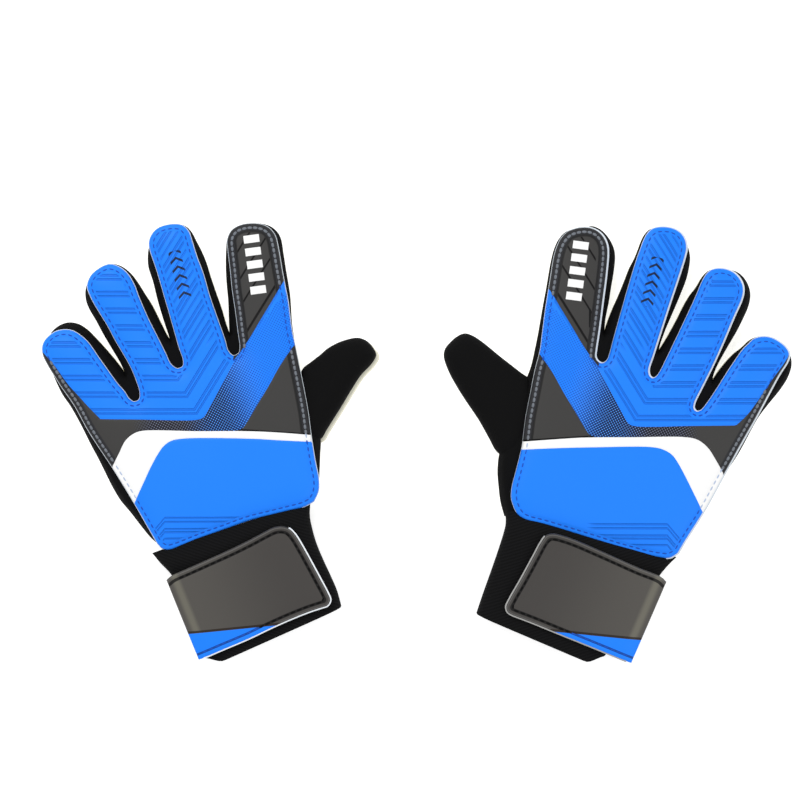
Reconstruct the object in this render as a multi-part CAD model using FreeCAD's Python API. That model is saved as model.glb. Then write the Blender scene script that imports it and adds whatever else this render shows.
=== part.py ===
import FreeCAD, Part
import math
import os

# A pair of goalkeeper gloves lying palm down. Sizes are in mm, +Z is up, +Y points along the fingers.
# One glove is drawn as a left hand; the right one is its mirror image.

V = FreeCAD.Vector

# Height of each layer above the floor
LATEX_TOP = 4.0
LINER_TOP = 5.0
WALL_TOP = 16.0
BACK_LOW = 13.5
BACK_TOP = 17.5
WALL = 2.0

# Thumb, cuff and strap
THUMB_TOP = 14.0
THUMB_ROOF = 2.5
CUFF_TOP = 17.0
CUFF_WALL = 2.5
ROOT_TOP = 17.4
ROOT_WALL = 1.6
HOOK_LOW = 17.3
HOOK_TOP = 18.3
STRAP_LOW = 18.3
STRAP_TOP = 20.8

# Hinges: height of the axis, and the half gap left between the pieces on its two sides
CURL_Z = 2.0
CURL_GAP = 2.5
WRIST_Z = 8.7
WRIST_GAP = 2.8
MIDDLE_JOINT_SHARE = 0.44

# Each finger: knuckle centre, fingertip, width at the knuckle and width at the tip
FINGERS = {
    "index": ((12.0, 54.5), (5.0, 110.0), 28.8, 26.5),
    "middle": ((-19.2, 50.5), (-33.5, 110.0), 28.2, 26.0),
    "ring": ((-46.0, 38.5), (-67.0, 90.5), 26.8, 25.5),
    "little": ((-69.6, 20.5), (-89.0, 60.8), 25.4, 24.5),
}
TIP_ROUND = 11.0

# Outer edges of the hand, from the little finger's knuckle down to the wrist and back up the thumb side
LITTLE_EDGE = [(-81.6, 12.0), (-71.5, -7.0), (-64.0, -22.0), (-55.0, -34.5), (-41.0, -52.5)]
THUMB_EDGE = [(38.0, -31.0), (41.0, -21.0), (39.5, -10.0), (37.3, 1.7)]
THUMB_FOLD = [(37.3, 1.7), (32.4, 38.0)]
WRIST_LINE = ((-2.0, -42.6), 16.7)

# Lines between the fields of the backhand
KNUCKLE_PANEL_EDGE = [
    (-100.0, 52.0), (-80.0, 24.0), (-69.0, 12.4), (-20.0, 12.2), (-14.0, 19.5), (4.0, 53.0), (8.0, 60.0),
]
PRINT_EDGE = [(31.0, 56.0), (15.0, 29.5), (4.0, 11.0), (-2.0, 6.5)]
BAND_TOP = [(40.0, 4.2), (5.0, 6.5), (-48.5, 6.5), (-56.5, 2.0), (-63.5, -11.5), (-72.0, -25.0)]
BAND_LOW = [(40.0, 1.0), (5.0, 2.7), (-30.0, 2.7), (-38.5, -1.5), (-44.0, -10.5), (-57.0, -38.0)]

# Thumb outline, from its root round the tip, split at its own joint
THUMB_ROOT_SIDE = [(37.3, 41.6), (42.6, 5.0)]
THUMB_JOINT = ((51.5, 39.1), 47.0)
THUMB_JOINT_HALF = 11.2
THUMB_LOWER = [(55.0, 26.0), (51.5, 19.5), (47.5, 12.0)]
THUMB_TIP = [(51.0, 51.8), (58.5, 53.2), (67.2, 48.0), (66.6, 41.0)]

# Cuff and strap outlines
CUFF_SIDES = [(-42.6, -60.2), (-20.6, -106.6), (49.0, -82.5)]
STRAP_FOLD = [(-37.8, -68.0), (-21.8, -107.2)]
STRAP_TOP_EDGE = [(-36.0, -66.4), (-15.0, -57.6), (5.0, -48.4), (17.5, -42.4), (24.5, -42.6)]
STRAP_TIP = [(31.5, -51.0), (39.0, -64.5), (45.4, -75.4), (42.5, -79.5)]
STRAP_LOW_EDGE = [(25.0, -86.5), (5.0, -96.0)]
HOOK_CORNERS = [(16.0, -49.0), (24.0, -48.0), (38.5, -74.5), (18.0, -84.0)]

# Where the two gloves lie, how much longer some fingers of one are than of the other,
# and how much further out its thumb, gusset and cuff come on the thumb side
GLOVES = {
    "left": {"mirror": 1, "at": (-88.0, 0.0), "longer": {}, "fuller": 0.0},
    "right": {
        "mirror": -1,
        "at": (88.0, -3.2),
        "longer": {"index": 2.2, "middle": 1.5, "thumb": 5.5},
        "fuller": 5.6,
    },
}

# Joint ranges in degrees
KNUCKLE_RANGE = (-10.0, 70.0)
MIDDLE_RANGE = (0.0, 60.0)
THUMB_RANGE = (0.0, 60.0)
WRIST_RANGE = (-20.0, 30.0)
STRAP_RANGE = (0.0, 145.0)


def unit(a, b):
    length = math.dist(a, b)
    return ((b[0] - a[0]) / length, (b[1] - a[1]) / length)


def along(point, direction, distance):
    return (point[0] + direction[0] * distance, point[1] + direction[1] * distance)


def side_of(direction):
    """The direction to the right of one given in the plane."""
    return (direction[1], -direction[0])


def heading(degrees):
    return (math.cos(math.radians(degrees)), math.sin(math.radians(degrees)))


def prism(points, low, high):
    corners = [V(x, y, low) for x, y in points]
    return Part.Face(Part.makePolygon(corners + corners[:1])).extrude(V(0, 0, high - low))


def curve(points):
    spline = Part.BSplineCurve()
    spline.interpolate([V(x, y, 0) for x, y in points])
    return spline.toShape()


def line(a, b):
    return Part.makeLine(V(a[0], a[1], 0), V(b[0], b[1], 0))


def raised(wire_edges, low, high):
    """A solid between two heights whose plan is the loop of edges."""
    face = Part.Face(Part.Wire(wire_edges))
    face.translate(V(0, 0, low))
    return face.extrude(V(0, 0, high - low))


def finger_frame(name, longer):
    knuckle, tip, base_width, tip_width = FINGERS[name]
    direction = unit(knuckle, tip)
    length = math.dist(knuckle, tip) + longer.get(name, 0.0)
    return knuckle, direction, length, base_width, tip_width


def finger_point(frame, distance, share):
    """A point at a distance from the knuckle, share running from -1 (left edge) to 1 (right edge)."""
    knuckle, direction, length, base_width, tip_width = frame
    width = base_width + (tip_width - base_width) * distance / length
    return along(along(knuckle, direction, distance), side_of(direction), share * width / 2)


def finger_strip(frame, start, end, inset, low, high):
    """A length of finger with straight ends."""
    width = frame[3]
    share = 1 - 2 * inset / width
    spots = [(start, -share), (end, -share), (end, share), (start, share)]
    return prism([finger_point(frame, d, s) for d, s in spots], low, high)


def finger_end(frame, start, inset, low, high):
    """The end of a finger, with a rounded tip."""
    length = frame[2]
    share = 1 - 2 * inset / frame[3]
    shoulder = length - TIP_ROUND
    left = finger_point(frame, shoulder, -share)
    right = finger_point(frame, shoulder, share)
    left_arc = finger_point(frame, length - 2.6 - 0.5 * inset, -0.74 * share)
    right_arc = finger_point(frame, length - 2.6 - 0.5 * inset, 0.74 * share)
    top = finger_point(frame, length - inset, 0)
    round_end = curve([left, left_arc, top, right_arc, right])
    start_left = finger_point(frame, start, -share)
    start_right = finger_point(frame, start, share)
    edges = [line(start_left, left), round_end, line(right, start_right), line(start_right, start_left)]
    return raised(edges, low, high)


def finger_pieces(name, longer):
    """The two lengths of one finger, each a back over a sleeve of latex and side gussets."""
    frame = finger_frame(name, longer)
    middle = frame[2] * MIDDLE_JOINT_SHARE
    start = CURL_GAP
    end = middle - CURL_GAP
    tip_start = middle + CURL_GAP
    sleeve = finger_strip(frame, start, end, 0, 0, WALL_TOP)
    hollow = finger_strip(frame, start - 1, end + 1, WALL, LATEX_TOP, WALL_TOP + 1)
    tip_sleeve = finger_end(frame, tip_start, 0, 0, WALL_TOP)
    tip_hollow = finger_end(frame, tip_start - 1, WALL, LATEX_TOP, WALL_TOP + 1)
    return {
        name + "_proximal_sleeve": sleeve.cut(hollow),
        name + "_proximal_back": finger_strip(frame, start, end, WALL, BACK_LOW, BACK_TOP),
        name + "_distal_sleeve": tip_sleeve.cut(tip_hollow),
        name + "_distal_back": finger_end(frame, tip_start, WALL, BACK_LOW, BACK_TOP),
    }


def knuckle_corners(inset=0.0):
    """Corners of the hand along the roots of the fingers, from the little finger to the index."""
    corners = []
    for name in ("little", "ring", "middle", "index"):
        frame = finger_frame(name, {})
        share = 1 - 2 * inset / frame[3]
        corners.append(finger_point(frame, -CURL_GAP, -share))
        corners.append(finger_point(frame, -CURL_GAP, share))
    return corners


def hand_outline(inset, low, high, fuller=0.0):
    """The hand without fingers and thumb, drawn in from its two sides by the inset."""
    little = [(x + inset * 0.9, y + inset * 0.4) for x, y in LITTLE_EDGE]
    across = heading(WRIST_LINE[1])
    lower = [along(p, across, fuller) for p in THUMB_EDGE[:-1]]
    thumb = [(x - inset, y) for x, y in lower + THUMB_FOLD]
    top = knuckle_corners(inset)
    edges = [line(a, b) for a, b in zip(top, top[1:])]
    edges.append(line(top[-1], thumb[-1]))
    edges.append(line(thumb[-1], thumb[-2]))
    edges.append(curve(thumb[:-1]))
    edges.append(line(thumb[0], little[-1]))
    edges.append(curve(little))
    edges.append(line(little[0], top[0]))
    loop = Part.Wire(Part.__sortEdges__(edges))
    face = Part.Face(loop)
    face.translate(V(0, 0, low))
    return face.extrude(V(0, 0, high - low))


def backhand_fields():
    """The welded fields of the backhand, cut from one slab along the lines between them."""
    low, high = BACK_LOW, BACK_TOP
    slab = hand_outline(WALL, low, high)
    under_band_top = band_region(BAND_TOP, low, high)
    under_band_low = band_region(BAND_LOW, low, high)
    panel_side = prism(KNUCKLE_PANEL_EDGE + [(8.0, 90.0), (-100.0, 90.0)], low, high)
    thumb_corner = prism(PRINT_EDGE + [(-2.0, -10.0), (60.0, -10.0), (60.0, 56.0)], low, high)
    above = slab.cut(under_band_top)
    knuckle = above.common(panel_side)
    rest = above.cut(panel_side)
    return {
        "knuckle_panel": knuckle,
        "thumb_side_patch": rest.common(thumb_corner),
        "printed_patch": rest.cut(thumb_corner),
        "white_band": slab.common(under_band_top).cut(under_band_low),
        "wrist_panel": slab.common(under_band_low),
    }


def band_region(boundary, low, high):
    return prism(boundary + [(-72.0, -90.0), (70.0, -90.0), (70.0, boundary[0][1])], low, high)


def passages(low, high):
    """The ways from the hand's hollow into the fingers, the thumb and the cuff."""
    ways = [
        finger_strip(finger_frame(name, {}), -8.0, 1.0, WALL, low, high) for name in FINGERS
    ]
    thumb_way = [(30.0, 5.5), (42.0, 5.5), (38.0, 35.0), (27.0, 34.5)]
    ways.append(prism(thumb_way, low, high))
    centre, degrees = WRIST_LINE
    across = heading(degrees)
    down = side_of(across)
    left = along(centre, across, -38.5)
    right = along(centre, across, 38.0)
    wrist_way = [along(p, down, d) for p, d in ((left, -6), (right, -6), (right, 3), (left, 3))]
    ways.append(prism(wrist_way, low, high))
    return ways


def hand_pieces(fuller):
    whole = hand_outline(0, LATEX_TOP, WALL_TOP, fuller)
    liner = whole.cut(hand_outline(WALL, LINER_TOP, WALL_TOP + 1))
    for way in passages(LINER_TOP, WALL_TOP + 1):
        liner = liner.cut(way)
    pieces = {"palm_latex": hand_outline(0, 0, LATEX_TOP, fuller), "hand_liner": liner}
    pieces.update(backhand_fields())
    return pieces


def thumb_outlines(inset, longer, fuller):
    """Plan points of the thumb's two lengths."""
    centre, degrees = THUMB_JOINT
    forward = heading(degrees)
    across = side_of(forward)
    half = THUMB_JOINT_HALF - inset
    low_half = half + fuller * 0.8
    near = along(centre, forward, -CURL_GAP)
    far = along(centre, forward, CURL_GAP)
    upper_root = along(THUMB_ROOT_SIDE[0], (0.6, -0.8), inset * 1.2)
    lower_root = along(THUMB_ROOT_SIDE[1], (0.1, 1.0), inset * 1.6)
    lower_root = along(lower_root, (1.0, -1.0), fuller * 0.5)
    lower = [(x - inset * 0.87, y + inset * 0.5) for x, y in THUMB_LOWER]
    lower = [along(p, (1.0, -0.27), fuller * 1.15) for p in lower]
    proximal = [upper_root, along(near, across, -half), along(near, across, low_half)] + lower + [lower_root]
    start = [along(far, across, -half), along(far, across, low_half)]
    ends = [along(p, forward, longer.get("thumb", 0.0)) for p in THUMB_TIP]
    ends[-1] = along(ends[-1], across, fuller * 0.5)
    middle_x = sum(x for x, y in ends) / 4
    middle_y = sum(y for x, y in ends) / 4
    tip = [along(p, unit(p, (middle_x - 4, middle_y - 4)), inset) for p in ends]
    return proximal, start, tip


def thumb_end(inset, low, high, longer, fuller):
    proximal, start, tip = thumb_outlines(inset, longer, fuller)
    round_end = curve([start[0]] + tip + [start[1]])
    return raised([round_end, line(start[1], start[0])], low, high)


def thumb_pieces(longer, fuller):
    """The thumb's latex front and its knitted cover, each in two lengths."""
    proximal = thumb_outlines(0, longer, fuller)[0]
    roof = THUMB_TOP - THUMB_ROOF
    centre, degrees = THUMB_JOINT
    forward = heading(degrees)
    across = side_of(forward)
    near = along(centre, forward, -CURL_GAP)
    half = THUMB_JOINT_HALF - WALL
    inner = [(36.0, 38.0), along(near, across, -half)]
    inner += [along(p, forward, 3.0) for p in (along(near, across, -half), along(near, across, half))]
    inner += [along(near, across, half)]
    inner += [(x - 1.8, y + 1.0) for x, y in THUMB_LOWER] + [(43.5, 9.0), (39.0, 9.0)]
    cover = prism(proximal, LATEX_TOP, THUMB_TOP).cut(prism(inner, LATEX_TOP - 1, roof))
    start = thumb_outlines(WALL, longer, fuller)[1]
    mouth = prism(
        [along(p, forward, d) for p, d in ((start[0], -3), (start[0], 1), (start[1], 1), (start[1], -3))],
        LATEX_TOP - 1,
        roof,
    )
    tip_cover = thumb_end(0, LATEX_TOP, THUMB_TOP, longer, fuller)
    tip_cover = tip_cover.cut(thumb_end(WALL, LATEX_TOP - 1, roof, longer, fuller)).cut(mouth)
    return {
        "thumb_proximal_latex": prism(proximal, 0, LATEX_TOP),
        "thumb_proximal_cover": cover,
        "thumb_distal_latex": thumb_end(0, 0, LATEX_TOP, longer, fuller),
        "thumb_distal_cover": tip_cover,
    }


def cuff_top_line(fuller):
    """Two points of the cuff's edge next to the hand."""
    centre, degrees = WRIST_LINE
    across = heading(degrees)
    start = along(centre, side_of(across), 2 * WRIST_GAP)
    return along(start, across, -41.5), along(start, across, 37.6 + fuller)


def cuff_pieces(fuller):
    """An open tube, with the strap's sewn root standing against its little-finger side."""
    left, right = cuff_top_line(fuller)
    across = heading(WRIST_LINE[1])
    down = side_of(across)
    low_corner = along(CUFF_SIDES[2], across, fuller * 1.25)
    tube = prism([left] + CUFF_SIDES[:2] + [low_corner, right], 0, CUFF_TOP)
    inner = [
        along(left, (1, -0.2), CUFF_WALL * 1.4),
        along(CUFF_SIDES[0], (1, 0.3), CUFF_WALL),
        along(CUFF_SIDES[1], (1, 0.3), CUFF_WALL),
    ]
    thumb_side = [
        along(low_corner, (-1, -0.2), CUFF_WALL),
        along(right, (-1, -0.2), CUFF_WALL * 1.2),
    ]
    mouth = [along(p, (0.37, -0.93), 5) for p in (inner[2], thumb_side[0])]
    inner = [along(inner[0], down, -4)] + inner + mouth + thumb_side
    inner.append(along(thumb_side[1], down, -4))
    tube = tube.cut(prism(inner, CUFF_WALL, CUFF_TOP - CUFF_WALL))
    fold = unit(STRAP_FOLD[0], STRAP_FOLD[1])
    inwards = (-fold[1], fold[0])
    near = [along(p, inwards, 0.35) for p in STRAP_FOLD]
    far = [along(p, inwards, 0.35 + ROOT_WALL + 2.0) for p in STRAP_FOLD]
    root = prism([near[0], near[1], far[1], far[0]], 0, ROOT_TOP)
    return {"cuff": tube.fuse(root.cut(prism(inner, CUFF_WALL, CUFF_TOP - CUFF_WALL))).removeSplitter()}


def strap_pieces():
    edges = [
        line(STRAP_FOLD[0], STRAP_TOP_EDGE[0]),
        curve(STRAP_TOP_EDGE + STRAP_TIP[:2]),
        curve(STRAP_TIP[1:]),
        curve(STRAP_TIP[3:] + STRAP_LOW_EDGE + STRAP_FOLD[1:]),
        line(STRAP_FOLD[1], STRAP_FOLD[0]),
    ]
    return {
        "strap": raised(edges, STRAP_LOW, STRAP_TOP),
        "hook_patch": prism(HOOK_CORNERS, HOOK_LOW, HOOK_TOP),
    }


def joint(name, parent, child, point, height, forward, degrees, lifts=False):
    """A hinge whose positive turn lowers what lies forward of it, or lifts it."""
    sign = -1.0 if lifts else 1.0
    axis = (-forward[1] * sign, forward[0] * sign)
    place = point + (height,)
    return {"name": name, "parent": parent, "child": child, "at": place, "axis": axis, "range": degrees}


def glove_joints(longer):
    """The hinges of one left glove, before it is placed."""
    found = []
    for name in FINGERS:
        frame = finger_frame(name, longer)
        middle = along(frame[0], frame[1], frame[2] * MIDDLE_JOINT_SHARE)
        near, far = name + "_proximal", name + "_distal"
        found.append(joint(name + "_knuckle", "hand", near, frame[0], CURL_Z, frame[1], KNUCKLE_RANGE))
        found.append(joint(name + "_middle", near, far, middle, CURL_Z, frame[1], MIDDLE_RANGE))
    fold = unit(THUMB_FOLD[0], THUMB_FOLD[1])
    outwards = side_of(fold)
    root = along(along(THUMB_FOLD[0], fold, 18.0), outwards, CURL_GAP)
    found.append(joint("thumb_root", "hand", "thumb_proximal", root, CURL_Z, outwards, THUMB_RANGE))
    centre, degrees = THUMB_JOINT
    forward = heading(degrees)
    middle = joint("thumb_middle", "thumb_proximal", "thumb_distal", centre, CURL_Z, forward, THUMB_RANGE)
    found.append(middle)
    centre, degrees = WRIST_LINE
    down = side_of(heading(degrees))
    found.append(joint("wrist", "hand", "cuff", along(centre, down, WRIST_GAP), WRIST_Z, down, WRIST_RANGE))
    fold = unit(STRAP_FOLD[0], STRAP_FOLD[1])
    inwards = (-fold[1], fold[0])
    middle = along(STRAP_FOLD[0], fold, math.dist(STRAP_FOLD[0], STRAP_FOLD[1]) / 2)
    found.append(joint("strap_peel", "cuff", "strap", middle, STRAP_LOW, inwards, STRAP_RANGE, lifts=True))
    return found


def glove_pieces(longer, fuller):
    pieces = hand_pieces(fuller)
    for name in FINGERS:
        pieces.update(finger_pieces(name, longer))
    pieces.update(thumb_pieces(longer, fuller))
    pieces.update(cuff_pieces(fuller))
    pieces.update(strap_pieces())
    return pieces


def pair_pieces():
    """Every piece of both gloves, placed side by side."""
    pieces = {}
    for side, lie in GLOVES.items():
        for name, shape in glove_pieces(lie["longer"], lie["fuller"]).items():
            if lie["mirror"] < 0:
                shape = shape.mirror(V(0, 0, 0), V(1, 0, 0))
            shape.translate(V(lie["at"][0], lie["at"][1], 0))
            pieces[side + "_" + name] = shape
    return pieces


def centring(pieces):
    """The shift that brings the middle of the pair's footprint to the origin."""
    box = FreeCAD.BoundBox()
    for shape in pieces.values():
        box.add(shape.BoundBox)
    return V(-(box.XMin + box.XMax) / 2, -(box.YMin + box.YMax) / 2, -box.ZMin)


os.makedirs("parts", exist_ok=True)
PIECES = pair_pieces()
SHIFT = centring(PIECES)
for node, shape in PIECES.items():
    shape.translate(SHIFT)
    shape.exportStep("parts/" + node + ".step")
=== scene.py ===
import math

import bpy
import numpy as np
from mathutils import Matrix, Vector, geometry


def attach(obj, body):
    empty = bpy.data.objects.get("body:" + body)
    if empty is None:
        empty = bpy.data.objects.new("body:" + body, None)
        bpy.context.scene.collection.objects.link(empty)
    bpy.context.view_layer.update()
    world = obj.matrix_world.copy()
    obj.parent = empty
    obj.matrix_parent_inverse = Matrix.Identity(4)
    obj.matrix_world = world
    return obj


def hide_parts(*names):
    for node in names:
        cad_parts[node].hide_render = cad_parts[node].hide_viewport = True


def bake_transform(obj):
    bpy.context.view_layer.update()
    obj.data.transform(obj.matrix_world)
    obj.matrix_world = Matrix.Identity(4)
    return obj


# Looks for a pair of goalkeeper gloves lying palm down. Plan sizes are in mm in the frame of a left glove:
# its fingers point to +Y, its thumb is on the +X side. The right glove is drawn the same way and mirrored.

# Each finger: knuckle hinge, tip, and where its first and its second bend start and end, out from the hinge
FINGERS = {
    "index": ((12.0, 54.5), (5.0, 110.0), (2.0, 12.0), (19.0, 31.0)),
    "middle": ((-19.2, 50.5), (-33.5, 110.0), (3.0, 13.0), (21.0, 33.0)),
    "ring": ((-46.0, 38.5), (-67.0, 90.5), (3.0, 12.0), (19.0, 31.0)),
    "little": ((-69.6, 20.5), (-89.0, 60.8), (2.0, 10.5), (14.5, 25.0)),
}
# How far from the knuckle the far segment of a finger starts
SEGMENT_SPLIT = {"index": 15.5, "middle": 17.0, "ring": 15.5, "little": 12.5}
# Hinges of the thumb and the wrist: a point, the direction away from the hand, and where the bend starts
# and ends along it. The strap's hinge is its fold
THUMB_ROOT = ((37.2, 20.0), (0.991, 0.134), (-1.5, 8.0))
THUMB_JOINT = ((51.5, 39.1), (0.682, 0.731), (-5.0, 5.0))
WRIST = ((-1.2, -45.3), (0.287, -0.958), (-3.0, 6.0))
STRAP_BEND = (-0.2, 1.4)

# How far out from its hinge each zone starts, and how far a finger reaches to its sides
FINGER_START = -1.0
FINGER_SIDE = 19.0
THUMB_SPLIT = -8.0
CUFF_START = 9.0

# Each glove: its place in the scene, and its outlines, going round clockwise
LEFT = {
    "mirror": 1,
    "at": (-88.0, -0.244),
    # The laminated backhand, from the wrist's little-finger corner round the fingers to the thumb corner
    "back": [
        (-41, -49.5), (-45, -42.5), (-52.5, -29.5), (-63.5, -11.5), (-75, 6), (-82.5, 19.5), (-90, 30.5),
        (-98.3, 45.5), (-97.8, 50.5), (-95, 54), (-91.5, 56.2), (-87.5, 57), (-83.5, 56.5), (-80, 54.5),
        (-76, 51), (-70, 42.5), (-65, 35.5), (-61, 30), (-57.5, 26), (-55.3, 22.6), (-52.6, 21), (-50, 22.3),
        (-49.6, 25.5), (-51.5, 32), (-54.5, 39), (-62, 52), (-66, 59.5), (-70, 66), (-74, 73), (-76, 79),
        (-74.2, 84), (-71, 87), (-67.5, 89), (-64.5, 89.7), (-60.5, 88.5), (-56.5, 85.5), (-53, 80),
        (-50.5, 73.5), (-46, 63), (-41.5, 54), (-37, 45), (-34.6, 40), (-31.2, 37.6), (-28.3, 38.8),
        (-28, 42), (-30, 48), (-34, 62), (-37.5, 74), (-41, 86), (-45, 98.5), (-45, 101.5), (-43.5, 105),
        (-41, 107.5), (-37.5, 109), (-32.5, 109.7), (-28.5, 109), (-25.5, 106), (-24, 101.5), (-21.5, 93.5),
        (-18.5, 85.5), (-15, 73.5), (-11, 62), (-7.5, 52), (-5.8, 46.4), (-3, 44), (-0.2, 45.6), (0.3, 49),
        (-0.5, 55), (-2, 67), (-3.5, 77), (-4.5, 87), (-5.7, 97), (-6, 102), (-4, 106.5), (0, 109), (5, 110),
        (10.5, 109.6), (14.5, 107.9), (17.6, 104), (19.3, 97), (21, 87), (22.3, 80), (23.9, 72), (25.2, 62),
        (26, 56.5), (27.5, 49.5), (30, 37), (32, 27), (34, 16), (35.5, 4.5), (37.5, -8), (39.4, -18),
        (39.2, -23.5), (37, -28.5),
    ],
    "wrist": [
        (37, -28.5), (32.5, -31), (25, -33), (15, -35.5), (5, -38), (-7.5, -42.5), (-20, -47), (-30, -51),
        (-35, -52.6), (-38.5, -52), (-41, -49.5),
    ],
    # The black gussets and the latex palm under them, one stretch for each finger and one for the wrist
    "body": [
        [(-41, -50.5), (-45, -47), (-50, -41), (-55, -34.5), (-60, -28.5), (-64, -22), (-68.5, -13),
         (-71.5, -7), (-75, -0.5), (-80, 9.5), (-85, 18.5), (-90, 26), (-96, 40), (-97.6, 46), (-97.2, 50.5),
         (-96.6, 53), (-94, 57), (-90, 59.8), (-86, 60.8), (-81.5, 60), (-77.5, 57.5), (-72.5, 52.5),
         (-67.5, 47), (-62.5, 41), (-59.5, 37), (-57.5, 33.5)],
        [(-57.5, 33.5), (-59, 38), (-61, 42), (-64, 47), (-69, 55.5), (-72.5, 62), (-76, 68), (-77.5, 72),
         (-77.8, 77), (-76.5, 81.5), (-74.5, 84.8), (-71, 87.7), (-67.5, 89.6), (-64.5, 90.2), (-60, 89),
         (-55.5, 85.6), (-52.3, 81.5), (-48.5, 75.5), (-45, 70), (-41, 62), (-37.5, 55), (-35, 51)],
        [(-35, 51), (-36, 54.5), (-38.5, 62), (-41.5, 72), (-44, 82), (-46.2, 89), (-46.5, 94.5),
         (-45.9, 99), (-44.8, 103.5), (-41.8, 107.7), (-37.5, 109.4), (-32.5, 110.1), (-28, 109.3),
         (-24.8, 106.2), (-22.6, 102), (-20, 97), (-17.5, 91), (-15.5, 84.5), (-13, 77), (-10, 68.5),
         (-7.5, 60), (-5.4, 54.2)],
        [(-5.4, 54.2), (-5.6, 58), (-5.8, 64), (-6.1, 72), (-7, 82), (-7.3, 91), (-7.1, 98), (-6.6, 103),
         (-4.2, 107.2), (0, 109.4), (5, 110.6), (10.5, 110.4), (15, 109), (18.3, 106.2), (20, 103),
         (21.2, 96), (22.6, 87), (23.8, 80), (24.6, 74.5), (24.9, 70.5), (25.6, 60), (26.8, 52), (28, 44),
         (29.6, 37), (33, 29.5), (36, 19.5), (38.5, 9.5), (40, 2), (39.7, -5.5), (39.4, -13), (39, -20.5),
         (38, -25.5), (36.6, -28)],
        [(36.6, -28), (32.5, -30.5), (15, -35), (-7.5, -42), (-30, -50.5), (-35.5, -52.2), (-38.5, -52),
         (-41, -50.5)],
    ],
    # Lines between the welded fields
    "knuckle_edge": [(-99, 47), (-92, 39), (-85, 29.5), (-80, 24), (-74, 17.5), (-69, 12.6)],
    "band_top": [
        (38, 4.4), (20, 5.8), (5, 6.5), (-20, 6.5), (-48.5, 6.6), (-52.5, 5.2), (-56.5, 1.8), (-60, -5),
        (-66, -16),
    ],
    "band_low": [
        (39, 1.0), (20, 2), (5, 2.8), (-28, 2.8), (-34, 1.6), (-37.5, -0.9), (-40.2, -4.6), (-44, -11.5),
        (-47.5, -19), (-54.5, -34),
    ],
    # The thumb, its base hidden under the hand, and how far the latex under it shows
    "thumb": [
        (29, 30), (31, 37.4), (35.2, 41), (40, 44.7), (43.3, 47.6), (48.3, 50.5), (53.7, 52.4), (58.8, 53.2),
        (63.3, 51.6), (66.3, 48.3), (67.9, 44.8), (66, 40.8), (60.2, 34.5), (55.2, 26.8), (50.6, 19.1),
        (46, 11.8), (42.9, 6.8), (40.2, 2.6), (36, 2), (31, 12),
    ],
    "latex_shows": 2.2,
    # Points and directions of the lines that part neighbouring fingers, from the little finger's side
    "webs": [((-57.3, 33.5), (-20, 32.5)), ((-35, 51), (-12.5, 34)), ((-5.4, 54.2), (-6.9, 36.8))],
    # How far the pale foam stands out all round, and its shift towards the thumb's side
    "foam_shows": 0.34,
    "foam_lean": 0.0,
    # The two sides of the cuff from hand to hem, and how far the hem bows out
    "cuff_left": [(-44.2, -54.8), (-40, -59.8), (-34.3, -66), (-29, -79), (-23, -94), (-18.3, -107)],
    "cuff_right": [
        (35.2, -28), (34.8, -36), (36, -42.5), (38, -49.5), (41.5, -58), (45.2, -66), (48.6, -74),
        (50.6, -81.3),
    ],
    "hem_bulge": 4.6,
    "strap_top": [
        (-36, -67.5), (-33.5, -65.4), (-25, -61.5), (-15, -57), (-5, -52.5), (5, -47.6), (12.5, -43.6),
        (17.5, -41.2), (21.5, -40.7), (25.2, -41.8), (28.2, -44.8), (32, -51), (36.3, -58.8), (40.4, -66.4),
        (44.2, -73.6), (45.5, -77), (44.2, -79.8), (41, -81),
    ],
    "strap_low": [(41, -81), (35, -83), (25, -87), (15, -91.5), (5, -96.3), (-7.5, -101.6), (-20, -107)],
}

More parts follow.
